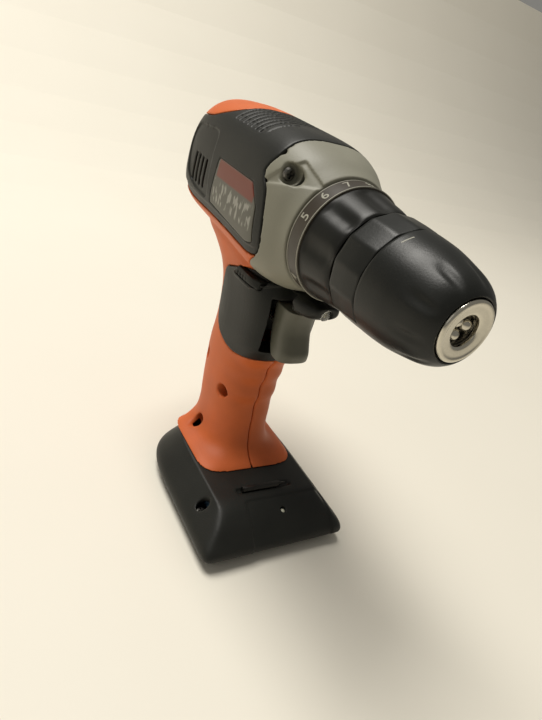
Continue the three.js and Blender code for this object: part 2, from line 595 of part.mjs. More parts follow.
place("foot_housing", footHousing, BLACK);
place("base_cover", baseCover, BLACK);
const cell = disc(CELLS_X, CELLS_X + CELL_LENGTH, CELL_R);
for (const [i, y] of CELL_Y.entries())
  place(`battery_cell_${i + 1}`, cell, finish(0x3c6a8c, 0.5)).position.set(0, y, CELL_Z);
place("circuit_board", box(35, 36.4, -20, 20, 5.6, 13.4), finish(0x2c5a38, 0.6));
place("charge_light", bar([LED.x, LED.y, 12], [LED.x, LED.y, 17.8], 1.2, 16), finish(0xd8d8b0, 0.2));
place("charge_socket", cut(
  bar([SOCKET.x, 29, SOCKET.z], [SOCKET.x, SOCKET.face, SOCKET.z], 4.2, 20),
  bar([SOCKET.x, 31, SOCKET.z], [SOCKET.x, 60, SOCKET.z], 3.2, 16)), finish(0x1c1c1c, 0.5));
place("driver_bit", bar(...driverBitEnds(0), 1.7, 6), STEEL);

export default drill;
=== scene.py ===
import math

import bpy
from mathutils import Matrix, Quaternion, Vector


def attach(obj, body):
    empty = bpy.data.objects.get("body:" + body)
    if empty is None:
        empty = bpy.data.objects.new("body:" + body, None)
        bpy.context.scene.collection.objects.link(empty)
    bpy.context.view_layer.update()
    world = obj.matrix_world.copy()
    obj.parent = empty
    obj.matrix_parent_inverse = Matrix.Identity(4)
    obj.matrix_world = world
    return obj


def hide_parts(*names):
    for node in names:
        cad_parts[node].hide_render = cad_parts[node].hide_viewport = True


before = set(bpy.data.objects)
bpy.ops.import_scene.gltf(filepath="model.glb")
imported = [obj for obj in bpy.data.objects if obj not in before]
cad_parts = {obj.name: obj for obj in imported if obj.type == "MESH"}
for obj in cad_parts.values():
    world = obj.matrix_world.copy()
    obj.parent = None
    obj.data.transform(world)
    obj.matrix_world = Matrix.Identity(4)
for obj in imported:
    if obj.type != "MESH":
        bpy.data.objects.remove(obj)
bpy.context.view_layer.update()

# ---- Studio --------------------------------------------------------------------------------
# A plain pale table under the drill, swept up far behind it. A large soft lamp hangs behind and
# above, the room's light fills the rest, and the camera looks down on the chuck from its nose.
MM = 0.001
TABLE_FRONT, TABLE_FLAT, TABLE_HALF = 2.5, 3, 3
SWEEP_RADIUS = 0.8

bpy.ops.object.select_all(action="DESELECT")
bpy.ops.mesh.primitive_grid_add(x_subdivisions=40, y_subdivisions=1, size=2)
table_top = bpy.context.object
table_top.name = "table_top"
for vertex in table_top.data.vertices:
    along = (1 - vertex.co.x) * 2
    turn = min(max(along - TABLE_FLAT, 0) / SWEEP_RADIUS, math.pi / 2)
    vertex.co = (TABLE_FRONT - min(along, TABLE_FLAT) - SWEEP_RADIUS * math.sin(turn),
                 vertex.co.y * TABLE_HALF, -0.2 * MM + SWEEP_RADIUS * (1 - math.cos(turn)))
paint = bpy.data.materials.new("table_paint")
paint.use_nodes = True
nodes, links = paint.node_tree.nodes, paint.node_tree.links
shader = nodes["Principled BSDF"]
shader.inputs["Roughness"].default_value = 0.55
shader.inputs["Specular IOR Level"].default_value = 0.25
coordinates = nodes.new("ShaderNodeTexCoord")
clouds = nodes.new("ShaderNodeTexNoise")
clouds.inputs["Scale"].default_value = 6
tint = nodes.new("ShaderNodeValToRGB")
tint.color_ramp.elements[0].color = (0.80, 0.76, 0.665, 1)
tint.color_ramp.elements[1].color = (0.84, 0.80, 0.705, 1)
links.new(coordinates.outputs["Object"], clouds.inputs["Vector"])
links.new(clouds.outputs["Fac"], tint.inputs["Fac"])
links.new(tint.outputs["Color"], shader.inputs["Base Color"])
table_top.data.materials.append(paint)


def soft_lamp(name, place, target, size, power, colour):
    light = bpy.data.lights.new(name, "AREA")
    light.shape = "RECTANGLE"
    light.size, light.size_y = size
    light.energy = power
    light.color = colour
    lamp = bpy.data.objects.new(name, light)
    lamp.location = place
    lamp.rotation_euler = (Vector(target) - Vector(place)).to_track_quat("-Z", "Y").to_euler()
    bpy.context.scene.collection.objects.link(lamp)


soft_lamp("window_lamp", (-0.55, -0.25, 1.7), (0, 0, 0.1), (0.9, 0.9), 33.0, (1, 0.97, 0.91))
soft_lamp("side_lamp", (0.15, -1.0, 0.65), (0, 0, 0.08), (0.8, 0.6), 0.5, (1, 0.96, 0.9))

world = bpy.data.worlds.new("room_light")
world.use_nodes = True
world.node_tree.nodes["Background"].inputs["Color"].default_value = (0.93, 0.9, 0.82, 1)
world.node_tree.nodes["Background"].inputs["Strength"].default_value = 0.23
bpy.context.scene.world = world
bpy.context.scene.view_settings.view_transform = "Standard"

camera = bpy.data.objects.new("camera", bpy.data.cameras.new("camera"))
camera.data.lens = 27.64
camera.data.sensor_width = 36
camera.data.clip_start = 0.01
camera.location = (0.18982, -0.15023, 0.21375)
camera.rotation_euler = [math.radians(turn) for turn in (60.409, -16.222, 61.096)]
bpy.context.scene.collection.objects.link(camera)
bpy.context.scene.camera = camera

# ---- Housing halves ------------------------------------------------------------------------
# Two shells of glass-filled nylon, orange, that meet on the middle plane and are screwed
# together through the handle. They hold the motor, and flare into a flange over the foot.
AXIS = 154
SEAM = 0.15
WALL = 4.2
# x, half width, height above the axis, depth below it, squareness
BODY = [
    (-93.5, 17, 21, 15, 2.3), (-92.2, 23.5, 27, 20.4, 2.4), (-89.4, 27.2, 31, 23.4, 2.6),
    (-83, 29.6, 33.6, 25.4, 2.7), (-68, 30.4, 34.68, 26.6, 2.7), (-40, 30.6, 34.68, 28, 2.7),
    (-18, 30.4, 34.2, 29.6, 2.9), (-7, 30, 33, 30.2, 2.9), (3, 28.3, 30.4, 29.6, 2.6),
    (9.6, 26.4, 27.8, 27.4, 2.3), (14.2, 25.8, 26.2, 25.8, 2)]
# z, rear x, front x, half width, squareness of the rear and of the front
HANDLE = [
    (22.2, -39, 11.6, 28.6, 5, 5), (23.6, -38.8, 9.6, 26, 4.4, 4.4), (26, -42, 5.4, 20.4, 3.4, 3.4),
    (30, -43.6, 1.8, 17.4, 2.8, 2.8), (38, -44.6, -1.2, 16.6, 2.6, 2.6), (46, -46, -2.4, 17, 2.5, 2.5),
    (53, -47, -4, 17.2, 2.5, 2.5), (59, -48, -3, 17.4, 2.5, 2.5), (65, -48.8, -4, 17.5, 2.5, 2.5),
    (71, -49.4, -2.4, 17.6, 2.5, 2.5), (77, -49.6, -2.4, 17.6, 2.5, 2.5), (83, -49.6, 0.6, 17.6, 2.5, 3),
    (91, -50, 3.4, 17.7, 2.5, 4.2), (100, -51.6, 3.6, 17.8, 2.5, 4.4), (109, -54.6, 3.2, 18.2, 2.5, 4.4),
    (117, -61, 2, 19, 2.5, 4), (124, -71, 0, 20.5, 2.5, 3), (130, -81, -4, 22, 2.5, 2.5),
    (140, -85, -8, 22.5, 2.5, 2.5)]
CASE_EDGE = [
    (-13, 116), (-12.4, 127), (-8.5, 132), (-3.6, 136), (-0.6, 139.5), (0.4, 144),
    (-0.4, 150), (-2.2, 158), (-4.4, 165), (-9.6, 169.6), (-10, 173), (-7.4, 179),
    (-8.6, 184.6), (-8.6, 195)]
CASE_AREA = CASE_EDGE + [(30, 195), (30, 116)]
COVER_AREA = CASE_EDGE[3:] + [
    (-57, 195), (-57.6, 187.4), (-61.4, 184.6), (-68, 181.4), (-76, 177.8), (-92, 175.6),
    (-92.6, 168), (-92.4, 150), (-89, 140.4), (-76, 137.4), (-52, 137.4), (-30.7, 136.8),
    (-11, 135.6)]
SURROUND_AREA = [
    (-39.4, 101.6), (-38.6, 94.5), (-35.4, 88), (-29.6, 83.8), (-22, 81.6), (-13, 81),
    (-3, 83), (12, 87.6), (12, 126), (-14, 126), (-21, 123.6), (-30.5, 119.6), (-37, 117.4),
    (-38.9, 110)]
HANDLE_SCREWS = [(-14.6, 56, 13), (-38.6, 65, 11.4), (-25.4, 28, 14.6)]
VENT_X = [-62, -66.5, -71, -75.5]
# x0, x1, z0, z1
SELECTOR = (-23.5, -5, 119.4, 123.1)
SCREW_WALL = 5


def rest_all():
    if bpy.context.object and bpy.context.object.mode != "OBJECT":
        bpy.ops.object.mode_set(mode="OBJECT")
    bpy.ops.object.select_all(action="DESELECT")


def skin(name, rings):
    """A grid rolled round the rings, its two ends filled, its faces turned outwards."""
    rest_all()
    around = len(rings[0])
    bpy.ops.mesh.primitive_grid_add(x_subdivisions=around, y_subdivisions=len(rings) - 1)
    piece = bpy.context.object
    piece.name = name
    for k, vertex in enumerate(piece.data.vertices):
        row, column = divmod(k, around + 1)
        vertex.co = Vector(rings[row][column % around]) * MM
    bpy.ops.object.mode_set(mode="EDIT")
    bpy.ops.mesh.select_all(action="SELECT")
    bpy.ops.mesh.remove_doubles(threshold=0.002 * MM)
    bpy.ops.mesh.fill_holes(sides=0)
    bpy.ops.mesh.select_all(action="SELECT")
    bpy.ops.mesh.normals_make_consistent(inside=False)
    bpy.ops.object.mode_set(mode="OBJECT")
    return piece


def apply_modifier(piece, kind, **settings):
    rest_all()
    piece.select_set(True)
    bpy.context.view_layer.objects.active = piece
    modifier = piece.modifiers.new(kind.lower(), kind)
    for key, value in settings.items():
        setattr(modifier, key, value)
    bpy.ops.object.modifier_apply(modifier=modifier.name)


def combine(piece, operation, *tools):
    for tool in tools:
        apply_modifier(piece, "BOOLEAN", object=tool, operation=operation, solver="EXACT")
        bpy.data.objects.remove(tool)
    return piece


def cut(piece, *tools):
    return combine(piece, "DIFFERENCE", *tools)


def keep(piece, *tools):
    return combine(piece, "INTERSECT", *tools)


def join(piece, *tools):
    return combine(piece, "UNION", *tools)


def twin(piece, name):
    other = piece.copy()
    other.data = piece.data.copy()
    other.name = name
    bpy.context.scene.collection.objects.link(other)
    return other


def mould(piece, cell, passes):
    """Even small cells, then softened: the rounded edges of a moulding."""
    apply_modifier(piece, "REMESH", mode="VOXEL", voxel_size=cell * MM)
    apply_modifier(piece, "SMOOTH", factor=0.5, iterations=passes)
    bpy.ops.object.shade_smooth()
    return piece


def smooth_rows(table, steps):
    """The table's rows, with more between them on a smooth curve."""
    rows, last = [], len(table) - 1
    for i in range(last):
        four = [table[max(i - 1, 0)], table[i], table[i + 1], table[min(i + 2, last)]]
        for k in range(steps):
            t = k / steps
            weights = ((-t + 2 * t * t - t**3) / 2, (2 - 5 * t * t + 3 * t**3) / 2,
                       (t + 4 * t * t - 3 * t**3) / 2, (t**3 - t * t) / 2)
            rows.append([sum(w * v for w, v in zip(weights, values)) for values in zip(*four)])
    return rows + [list(table[-1])]


def squared_ring(count, power, place, rear_power=None):
    """Points round a circle pushed towards a square, each put in its place."""
    points = []
    for k in range(count):
        angle = 2 * math.pi * (k + 0.5) / count
        c, s = math.cos(angle), math.sin(angle)
        p = 2 / (rear_power if rear_power and c < 0 else power)
        points.append(place(math.copysign(abs(c) ** p, c), math.copysign(abs(s) ** p, s)))
    return points


def body_form(inset=0.0):
    return skin("body_form", [
        squared_ring(80, power, lambda u, v: (
            x, u * (width - inset), AXIS + v * ((top if v > 0 else bottom) - inset)))
        for x, width, top, bottom, power in smooth_rows(BODY, 5)
        if inset <= 0 or x >= BODY[0][0] + inset])


def handle_form(inset=0.0, drop=0.0):
    return skin("handle_form", [
        squared_ring(64, front_power, lambda u, v: (
            (rear + front) / 2 + u * ((front - rear) / 2 - inset), v * (width - inset),
            z - (drop if i == 0 else 0)), power)
        for i, (z, rear, front, width, power, front_power) in enumerate(smooth_rows(HANDLE, 4))])


def slab(outline, y0=-60, y1=60):
    return skin("slab", [[(x, y, z) for x, z in outline] for y in (y0, y1)])


def block(x0, x1, y0, y1, z0, z1):
    return slab([(x0, z0), (x1, z0), (x1, z1), (x0, z1)], y0, y1)


def peg(start, end, radius, end_radius=None, around=32):
    """A round bar, or a cone, between two points."""
    a, b = Vector(start), Vector(end)
    turn = (b - a).to_track_quat("Z", "Y")
    return skin("peg", [
        [at + turn @ Vector((r * math.cos(2 * math.pi * k / around),
                             r * math.sin(2 * math.pi * k / around), 0)) for k in range(around)]
        for at, r in ((a, radius), (b, radius if end_radius is None else end_radius))])


def eased(outline, radius, steps=4):
    """The outline with its corners rounded."""
    points = []
    for before, corner, after in zip(outline[-1:] + outline[:-1], outline, outline[1:] + outline[:1]):
        ends = []
        for other in (before, after):
            share = min(radius / max(math.dist(corner, other), 1e-6), 0.48)
            ends.append([c + (o - c) * share for c, o in zip(corner, other)])
        for k in range(steps + 1):
            t = k / steps
            points.append([(1 - t) ** 2 * p + 2 * t * (1 - t) * c + t * t * q
                           for p, c, q in zip(ends[0], corner, ends[1])])
    return points


def grown(outline, factor, shift=0.0):
    """The outline scaled about the middle of its extent."""
    (x0, x1), (z0, z1) = [(min(values), max(values)) for values in zip(*outline)]
    return [((x0 + x1) / 2 + (x - (x0 + x1) / 2) * factor + shift,
             (z0 + z1) / 2 + (z - (z0 + z1) / 2) * factor) for x, z in outline]


def plastic(name, colour, roughness, grain=0.1, grain_scale=1300, mottle=0.1, specular=0.5):
    """Moulded plastic: spark-eroded grain, faint clouds of colour and handling marks."""
    material = bpy.data.materials.new(name)
    material.use_nodes = True
    nodes, links = material.node_tree.nodes, material.node_tree.links
    shader = nodes["Principled BSDF"]
    shader.inputs["Specular IOR Level"].default_value = specular
    coordinates = nodes.new("ShaderNodeTexCoord")

    def noise(scale, detail):
        made = nodes.new("ShaderNodeTexNoise")
        made.inputs["Scale"].default_value = scale
        made.inputs["Detail"].default_value = detail
        links.new(coordinates.outputs["Object"], made.inputs["Vector"])
        return made

    tint = nodes.new("ShaderNodeValToRGB")
    tint.color_ramp.elements[0].position = 0.3
    tint.color_ramp.elements[1].position = 0.7
    tint.color_ramp.elements[0].color = (*[c * (1 - mottle) for c in colour], 1)
    tint.color_ramp.elements[1].color = (*[c * (1 + mottle) for c in colour], 1)
    links.new(noise(45, 4).outputs["Fac"], tint.inputs["Fac"])
    links.new(tint.outputs["Color"], shader.inputs["Base Color"])
    gloss = nodes.new("ShaderNodeMapRange")
    gloss.inputs["To Min"].default_value = roughness - 0.07
    gloss.inputs["To Max"].default_value = roughness + 0.07
    links.new(noise(90, 5).outputs["Fac"], gloss.inputs["Value"])
    links.new(gloss.outputs["Result"], shader.inputs["Roughness"])
    bump = nodes.new("ShaderNodeBump")
    bump.inputs["Strength"].default_value = grain
    bump.inputs["Distance"].default_value = 0.0004
    links.new(noise(grain_scale, 2).outputs["Fac"], bump.inputs["Height"])
    links.new(bump.outputs["Normal"], shader.inputs["Normal"])
    return material


def fit(piece, material, slot, body, *cad_nodes):
    """Finish, the body it moves with and the solids it stands for. The material slot is not used."""
    piece.data.materials.clear()
    piece.data.materials.append(material)
    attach(piece, body)
    if cad_nodes:
        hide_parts(*cad_nodes)


orange_nylon = plastic("orange_nylon", (0.60, 0.132, 0.034), 0.5, grain=0.12, specular=0.3)
trigger_gap = (-14, 20, -9.1, 9.1, 90.8, 118)
selector_gap = (
    SELECTOR[0] - 0.3, SELECTOR[1] + 0.3, -30, 30, SELECTOR[2] - 0.3, SELECTOR[3] + 0.3)



def vents():
    """The cooling slots, through both sides."""
    return [block(x - 0.9, x + 0.9, -60, 60, 146, 160) for x in VENT_X]


def cover_slab(factor, spare=0.0):
    """The cover's outline through the body, reaching round the rear corners on each side."""
    whole = slab(eased(grown(COVER_AREA, factor), 3))
    for side in (-1, 1):
        y0, y1 = sorted((side * (15.5 - spare), side * 60))
        join(whole, block(-96, -84, y0, y1, 140.8 - spare, 175.2 + spare))
    return whole


def well_box(around, above):
    """The trigger's well, with walls of a thickness added at its sides and foot."""
    return block(-4.5 - around, 20, -13 - around, 13 + around, 90.8 - around, 118 + above)


housing = join(body_form(), handle_form())
cut(housing, join(body_form(WALL), handle_form(WALL, drop=1)))
for x, z, head in HANDLE_SCREWS:
    boss = cut(peg((x, -head, z), (x, head, z), SCREW_WALL), block(-60, 20, -SEAM, SEAM, 0, 90))
    join(housing, boss)
cut(housing,
    cut(cover_slab(1, 0.3), body_form(2.3)),
    cut(slab(eased(SURROUND_AREA, 3)), handle_form(2.3), body_form(-0.3)),
    keep(slab(eased(grown(CASE_AREA, 1, -0.05), 2)), block(-20, 40, -60, 60, 122.6, 200)),
    block(-60, 20, -20, 20, 0, 22.1), well_box(2.9, 0.3), block(*selector_gap),
    *vents())
for x, z, head in HANDLE_SCREWS:
    cut(housing, peg((x, -30, z), (x, 5 - head, z), 3.6), peg((x, -20, z), (x, 9.2, z), 1.6))
for side, (y0, y1) in (("right", (-200, -SEAM)), ("left", (SEAM, 200))):
    half = keep(twin(housing, f"{side}_housing_shell"), block(-200, 200, y0, y1, -10, 300))
    mould(half, 0.62, 5)
    fit(half, orange_nylon, "orange_plastic", "frame", f"housing_{side}")
bpy.data.objects.remove(housing)

# ---- Motor cover ---------------------------------------------------------------------------
# A black moulding that wraps the motor from side to side. It has a lowered rim, grooves across
# its crown for the thumb, and cooling slots in a hollow towards the rear on each side.
GROOVES = [-31.6 - 4 * i for i in range(7)]
VENT_HOLLOW = [
    (-57.6, 171), (-61, 174.5), (-84.5, 172.6), (-86.5, 163), (-82, 148.6), (-72, 144),
    (-54, 142.6)]
LABEL_AREA = [
    (-48.5, 164.6), (-14.6, 164.6), (-7.4, 156.4), (-4.6, 141.4), (-9.6, 140), (-50, 143.4)]
RIM = 4.2

black_nylon = plastic(
    "black_nylon", (0.0125, 0.0130, 0.0108), 0.46, grain=0.16, mottle=0.16, specular=0.3)
cover = keep(body_form(), cover_slab(0.992))
cut(cover, body_form(2), cut(slab(LABEL_AREA), body_form(0.9)))
cut(cover, cut(slab(eased(VENT_HOLLOW, 4)), body_form(0.8)))
above_rim = [(x + (1 if x > -40 else -1), z + (RIM if z < 160 else 1)) for x, z in COVER_AREA]
rim = cut(slab(COVER_AREA), slab(eased(above_rim, 3), -62, 62))
cut(cover, cut(rim, body_form(0.5)))
ridges = block(-27.4, -26.4, -22, 22, 178.6, 200)
for x in GROOVES:
    join(ridges, block(x - 0.75, x + 0.75, -23, 23, 178, 200))
cut(cover, cut(ridges, body_form(0.9)))
cut(cover, *vents())
mould(cover, 0.5, 3)
cover.name = "motor_cover_shell"
fit(cover, black_nylon, "black_plastic", "frame", "motor_cover")

# ---- Data plates ---------------------------------------------------------------------------
# A thin printed plate set in each side of the cover: a dull red field above a grey field with
# rows of light print, left unreadable.
plate_print = plastic("plate_print", (0.09, 0.087, 0.068), 0.42, grain=0.05)
nodes, links = plate_print.node_tree.nodes, plate_print.node_tree.links
shader = nodes["Principled BSDF"]
ground = shader.inputs["Base Color"].links[0].from_socket
coordinates = next(n for n in nodes if n.type == "TEX_COORD")
where = nodes.new("ShaderNodeSeparateXYZ")
links.new(coordinates.outputs["Object"], where.inputs["Vector"])


def between(socket, low, high, blur=0.0004):
    """One between two places and none beyond them."""
    parts = []
    for edge, signs in ((low, (-1, 1)), (high, (1, -1))):
        ramp = nodes.new("ShaderNodeMapRange")
        ramp.inputs["From Min"].default_value = edge + signs[0] * blur
        ramp.inputs["From Max"].default_value = edge + signs[1] * blur
        links.new(socket, ramp.inputs["Value"])
        parts.append(ramp.outputs["Result"])
    both = nodes.new("ShaderNodeMath")
    both.operation = "MULTIPLY"
    links.new(parts[0], both.inputs[0])
    links.new(parts[1], both.inputs[1])
    return both.outputs["Value"]


def painted(below, colour, mask):
    mix = nodes.new("ShaderNodeMix")
    mix.data_type = "RGBA"
    mix.inputs["B"].default_value = (*colour, 1)
    links.new(mask, mix.inputs["Factor"])
    links.new(below, mix.inputs["A"])
    return mix.outputs["Result"]


def product(*sockets):
    result = sockets[0]
    for other in sockets[1:]:
        times = nodes.new("ShaderNodeMath")
        times.operation = "MULTIPLY"
        links.new(result, times.inputs[0])
        links.new(other, times.inputs[1])
        result = times.outputs["Value"]
    return result


stretch = nodes.new("ShaderNodeMapping")
stretch.inputs["Scale"].default_value = (430, 1, 170)
stretch.inputs["Rotation"].default_value = (0, math.radians(-24), 0)
links.new(coordinates.outputs["Object"], stretch.inputs["Vector"])
strokes = nodes.new("ShaderNodeTexNoise")
strokes.inputs["Scale"].default_value = 1
strokes.inputs["Detail"].default_value = 1
links.new(stretch.outputs["Vector"], strokes.inputs["Vector"])
inked = nodes.new("ShaderNodeMapRange")
inked.inputs["From Min"].default_value = 0.51
inked.inputs["From Max"].default_value = 0.58
links.new(strokes.outputs["Fac"], inked.inputs["Value"])
red_field = product(
    between(where.outputs["Z"], 0.1567, 0.1642), between(where.outputs["X"], -0.047, -0.0105))
text_rows = product(
    between(where.outputs["Z"], 0.1455, 0.1552, 0.0008), between(where.outputs["X"], -0.048, -0.0085),
    inked.outputs["Result"])
face = painted(ground, (0.16, 0.034, 0.02), red_field)
face = painted(face, (0.28, 0.275, 0.24), text_rows)
links.new(face, shader.inputs["Base Color"])

plates = cut(keep(body_form(), slab(eased(grown(LABEL_AREA, 0.985), 1.2))), body_form(0.6))
for side, (y0, y1) in (("right", (-60, -10)), ("left", (10, 60))):
    plate = keep(twin(plates, f"{side}_data_plate"), block(-60, 10, y0, y1, 130, 170))
    mould(plate, 0.24, 2)
    fit(plate, plate_print, "black_plastic", "frame", f"data_plate_{side}")
bpy.data.objects.remove(plates)

# ---- Gear case -----------------------------------------------------------------------------
# The grey front moulding, with boxy shoulders and a round bore for the torque collar. Its two
# screws sit in pockets that run out forwards, each in a shallow three-cornered relief.
CASE_SCREWS = [(-2, side * 22.8, AXIS + 19) for side in (-1, 1)]

grey_nylon = plastic("grey_nylon", (0.225, 0.218, 0.17), 0.52, grain=0.14, mottle=0.05)
case_front = slab(eased(grown(CASE_AREA, 1, 0.3), 2))
case = keep(body_form(), twin(case_front, "case_front"))
cut(case, keep(body_form(2.6), block(-30, 11.8, -60, 60, 0, 300)))
for x, y, z in CASE_SCREWS:
    pad = keep(peg((-9, y, z), (x + 5, y, z), 5.4), twin(case_front, "pad_front"), body_form())
    join(case, pad)
bpy.data.objects.remove(case_front)
cut(case, peg((-30, 0, AXIS), (40, 0, AXIS), 21.4, around=96))
for x, y, z in CASE_SCREWS:
    relief = slab([(-9, 166.6), (2.4, 180), (16.4, 173.4)], min(y * 2, 0), max(y * 2, 0))
    cut(case, cut(relief, body_form(0.9)))
    cut(case, peg((x, y, z), (40, y * 1.32, z + 9), 4.3, 4.9), peg((-30, y, z), (x + 1, y, z), 1.7),
        peg((-8.4, y * 1.2, z + 9.4), (-7.4, y * 0.96, z + 5.4), 1.3))
mould(case, 0.5, 4)
case.name = "gear_case_moulding"
fit(case, grey_nylon, "grey_plastic", "frame", "gear_case")

# ---- Trigger surround ----------------------------------------------------------------------
# A black skin in two halves over the top of the handle, with a squared well round the trigger.
# A raised ledge runs under the direction selector's opening on each side, and up in front of it.
surround = keep(handle_form(-0.6), slab(eased(grown(SURROUND_AREA, 0.985), 4)))
cut(surround, handle_form(2))
join(surround, keep(well_box(2.6, 0), handle_form()))


def slopes():
    """Two wedges that leave a slope facing up and out along the selector's opening."""
    section = ((30, 110), (30, 130), (20, 130), (20, 124.4), (22.4, 117))
    return [skin("slope", [[(x, side * y, z) for y, z in section] for x in (-30, 6)])
            for side in (-1, 1)]


LEDGE = [
    (-26.2, 119), (-24.6, 117.2), (-11.4, 117.3), (-7, 119.2), (2.4, 125.8), (0.8, 126.8),
    (-6, 122.4), (-9, 119.4), (-24.4, 119.4)]
ledge = cut(keep(slab(LEDGE), handle_form(-2)), handle_form(1), *slopes())
join(surround, ledge)
cut(surround, cut(block(-23.8, -3, -30, 30, 122, 128), handle_form(1.4)))
cut(surround, body_form(-0.3), well_box(0, 0), block(*trigger_gap), block(*selector_gap))
for side, (y0, y1) in (("right", (-60, -SEAM)), ("left", (SEAM, 60))):
    half = keep(twin(surround, f"{side}_trigger_surround"), block(-60, 20, y0, y1, 70, 140))
    mould(half, 0.4, 4)
    fit(half, black_nylon, "black_plastic", "frame", f"trigger_surround_{side}")
bpy.data.objects.remove(surround)

# ---- Trigger -------------------------------------------------------------------------------
# Grey plastic, hollow behind, with a finger curve down its front and soft rounded sides.
# z, rear x, front x
TRIGGER_SIDE = [
    (91.4, 6.2, 14), (92.4, 3.6, 15.6), (96, 1.2, 16), (100, -0.4, 14.2), (105, -1.8, 12),
    (110, -2.8, 11.2), (114, -3.4, 11.6), (116.2, -3.8, 12.4)]
trigger_grey = plastic("trigger_grey", (0.115, 0.112, 0.083), 0.45, grain=0.08, mottle=0.06)
trigger = skin("trigger_lever", [
    squared_ring(64, 2.8, lambda u, v: (
        (front + back) / 2 + u * (front - back) / 2, v * 8.6, z), 6)
    for z, back, front in smooth_rows(TRIGGER_SIDE, 4)])
cut(trigger, peg((-10, 0, 104), (9.4, 0, 104), 5))
mould(trigger, 0.35, 6)
fit(trigger, trigger_grey, "trigger_grey", "trigger", "trigger")

# ---- Direction selector --------------------------------------------------------------------
# A black bar through the handle, pushed from side to side. Its ends slope and carry fine ribs.
selector = block(SELECTOR[0], SELECTOR[1], -22.6, 22.6, SELECTOR[2], SELECTOR[3])
cut(keep(selector, handle_form(-2)), *slopes())
for side in (-1, 1):
    for k in range(5):
        x = -21.6 + 2.6 * k
        cut(selector, block(x, x + 0.8, side * 22 - 1.3, side * 22 + 1.3, 119, 121.6))
selector.name = "selector_bar"
mould(selector, 0.32, 2)
fit(selector, black_nylon, "black_plastic", "direction_selector", "direction_selector")

# ---- Lamp ----------------------------------------------------------------------------------
# A rounded black snout under the gear case, with a slanted hollow in each side. A clear lens is
# pressed into its front, ahead of a light-emitting diode.
LAMP_Z, LAMP_HALF, LAMP_HEIGHT = 122.4, 11.2, 5.3
snout = skin("lamp_snout", [
    squared_ring(64, 2.6, lambda u, v: (
        x, u * (LAMP_HALF - shrink), LAMP_Z + v * (LAMP_HEIGHT - shrink * 0.5) + shrink * 0.3))
    for x, shrink in smooth_rows([(-6, 0), (8, 0), (16, 0.9), (21, 2.4), (24, 4.6), (25, 6.2)], 4)])
cut(snout, body_form(-0.3), handle_form(0.9), slab(SURROUND_AREA),
    *[peg((8.2, y, 122.8), (13.4, y, 120.2), 2.1) for y in (-12, 12)],
    peg((12, 0, LAMP_Z), (40, 0, LAMP_Z), 3), peg((-30, 0, AXIS), (14, 0, AXIS), 21.4))
mould(snout, 0.35, 5)
fit(snout, black_nylon, "black_plastic", "frame", "lamp_housing")


def turned(name, profile, around=96, waist=None, centre=AXIS, closed=True):
    """A profile of x and radius, turned about the long axis; waist can vary the radius."""
    rows = profile + profile[:1] if closed else profile
    rings = []
    for x, radius in rows:
        ring = []
        for k in range(around):
            angle = 2 * math.pi * k / around
            r = waist(x, radius, angle) if waist else radius
            ring.append((x, r * math.cos(angle), centre + r * math.sin(angle)))
        rings.append(ring)
    piece = skin(name, rings)
    bpy.ops.object.shade_smooth_by_angle(angle=math.radians(40))
    return piece


clear_plastic = bpy.data.materials.new("clear_plastic")
clear_plastic.use_nodes = True
nodes, links = clear_plastic.node_tree.nodes, clear_plastic.node_tree.links
shader = nodes["Principled BSDF"]
shader.inputs["Transmission Weight"].default_value = 0.85
shader.inputs["IOR"].default_value = 1.45
coordinates = nodes.new("ShaderNodeTexCoord")
haze = nodes.new("ShaderNodeTexNoise")
haze.inputs["Scale"].default_value = 400
clarity = nodes.new("ShaderNodeMapRange")
clarity.inputs["To Min"].default_value = 0.05
clarity.inputs["To Max"].default_value = 0.16
links.new(coordinates.outputs["Object"], haze.inputs["Vector"])
links.new(haze.outputs["Fac"], clarity.inputs["Value"])
links.new(clarity.outputs["Result"], shader.inputs["Roughness"])
shader.inputs["Base Color"].default_value = (0.9, 0.9, 0.85, 1)
LENS = [(22, 0), (22, 2.6), (22.2, 2.7), (23.4, 2.7), (24, 2.3), (24.4, 1.5), (24.6, 0)]
lens = turned("lamp_lens_dome", LENS, 48, centre=LAMP_Z, closed=False)
fit(lens, clear_plastic, "clear_plastic", "frame", "lamp_lens")

# ---- Torque collar -------------------------------------------------------------------------
# A glossy black grip with nine shallow lobes and a lip at the back, turned by hand to set where
# the clutch lets go. The number band is pressed on behind it.
LOBES = 9
collar_black = plastic(
    "collar_black", (0.010, 0.0102, 0.0087), 0.38, grain=0.06, mottle=0.1, specular=0.28)
COLLAR = [(23.2, 24.2), (25, 24), (31, 23.2), (37, 22.4), (39.4, 21.8), (40.3, 21)]
SCALLOP = [0, 0.9, 1.3, 1.3, 0.8, 0]


def lobed(x, radius, angle):
    for (x0, _), (x1, _), a, b in zip(COLLAR, COLLAR[1:], SCALLOP, SCALLOP[1:]):
        if x0 <= x <= x1 and radius > 20:
            depth = a + (b - a) * (x - x0) / (x1 - x0)
            return radius - depth * (0.5 - 0.5 * math.cos(LOBES * angle)) ** 2
    return radius


COLLAR_INSIDE = [
    (40.1, 20.4), (39.8, 15.3), (38, 15), (38, 18.7), (24, 18.8), (15, 18.8), (15, 21.3),
    (22.6, 21.4), (23.2, 21.6)]
grip = turned("torque_collar_grip", smooth_rows(COLLAR, 5) + COLLAR_INSIDE, 216, lobed)
fit(grip, collar_black, "collar_black", "torque_collar", "torque_collar")
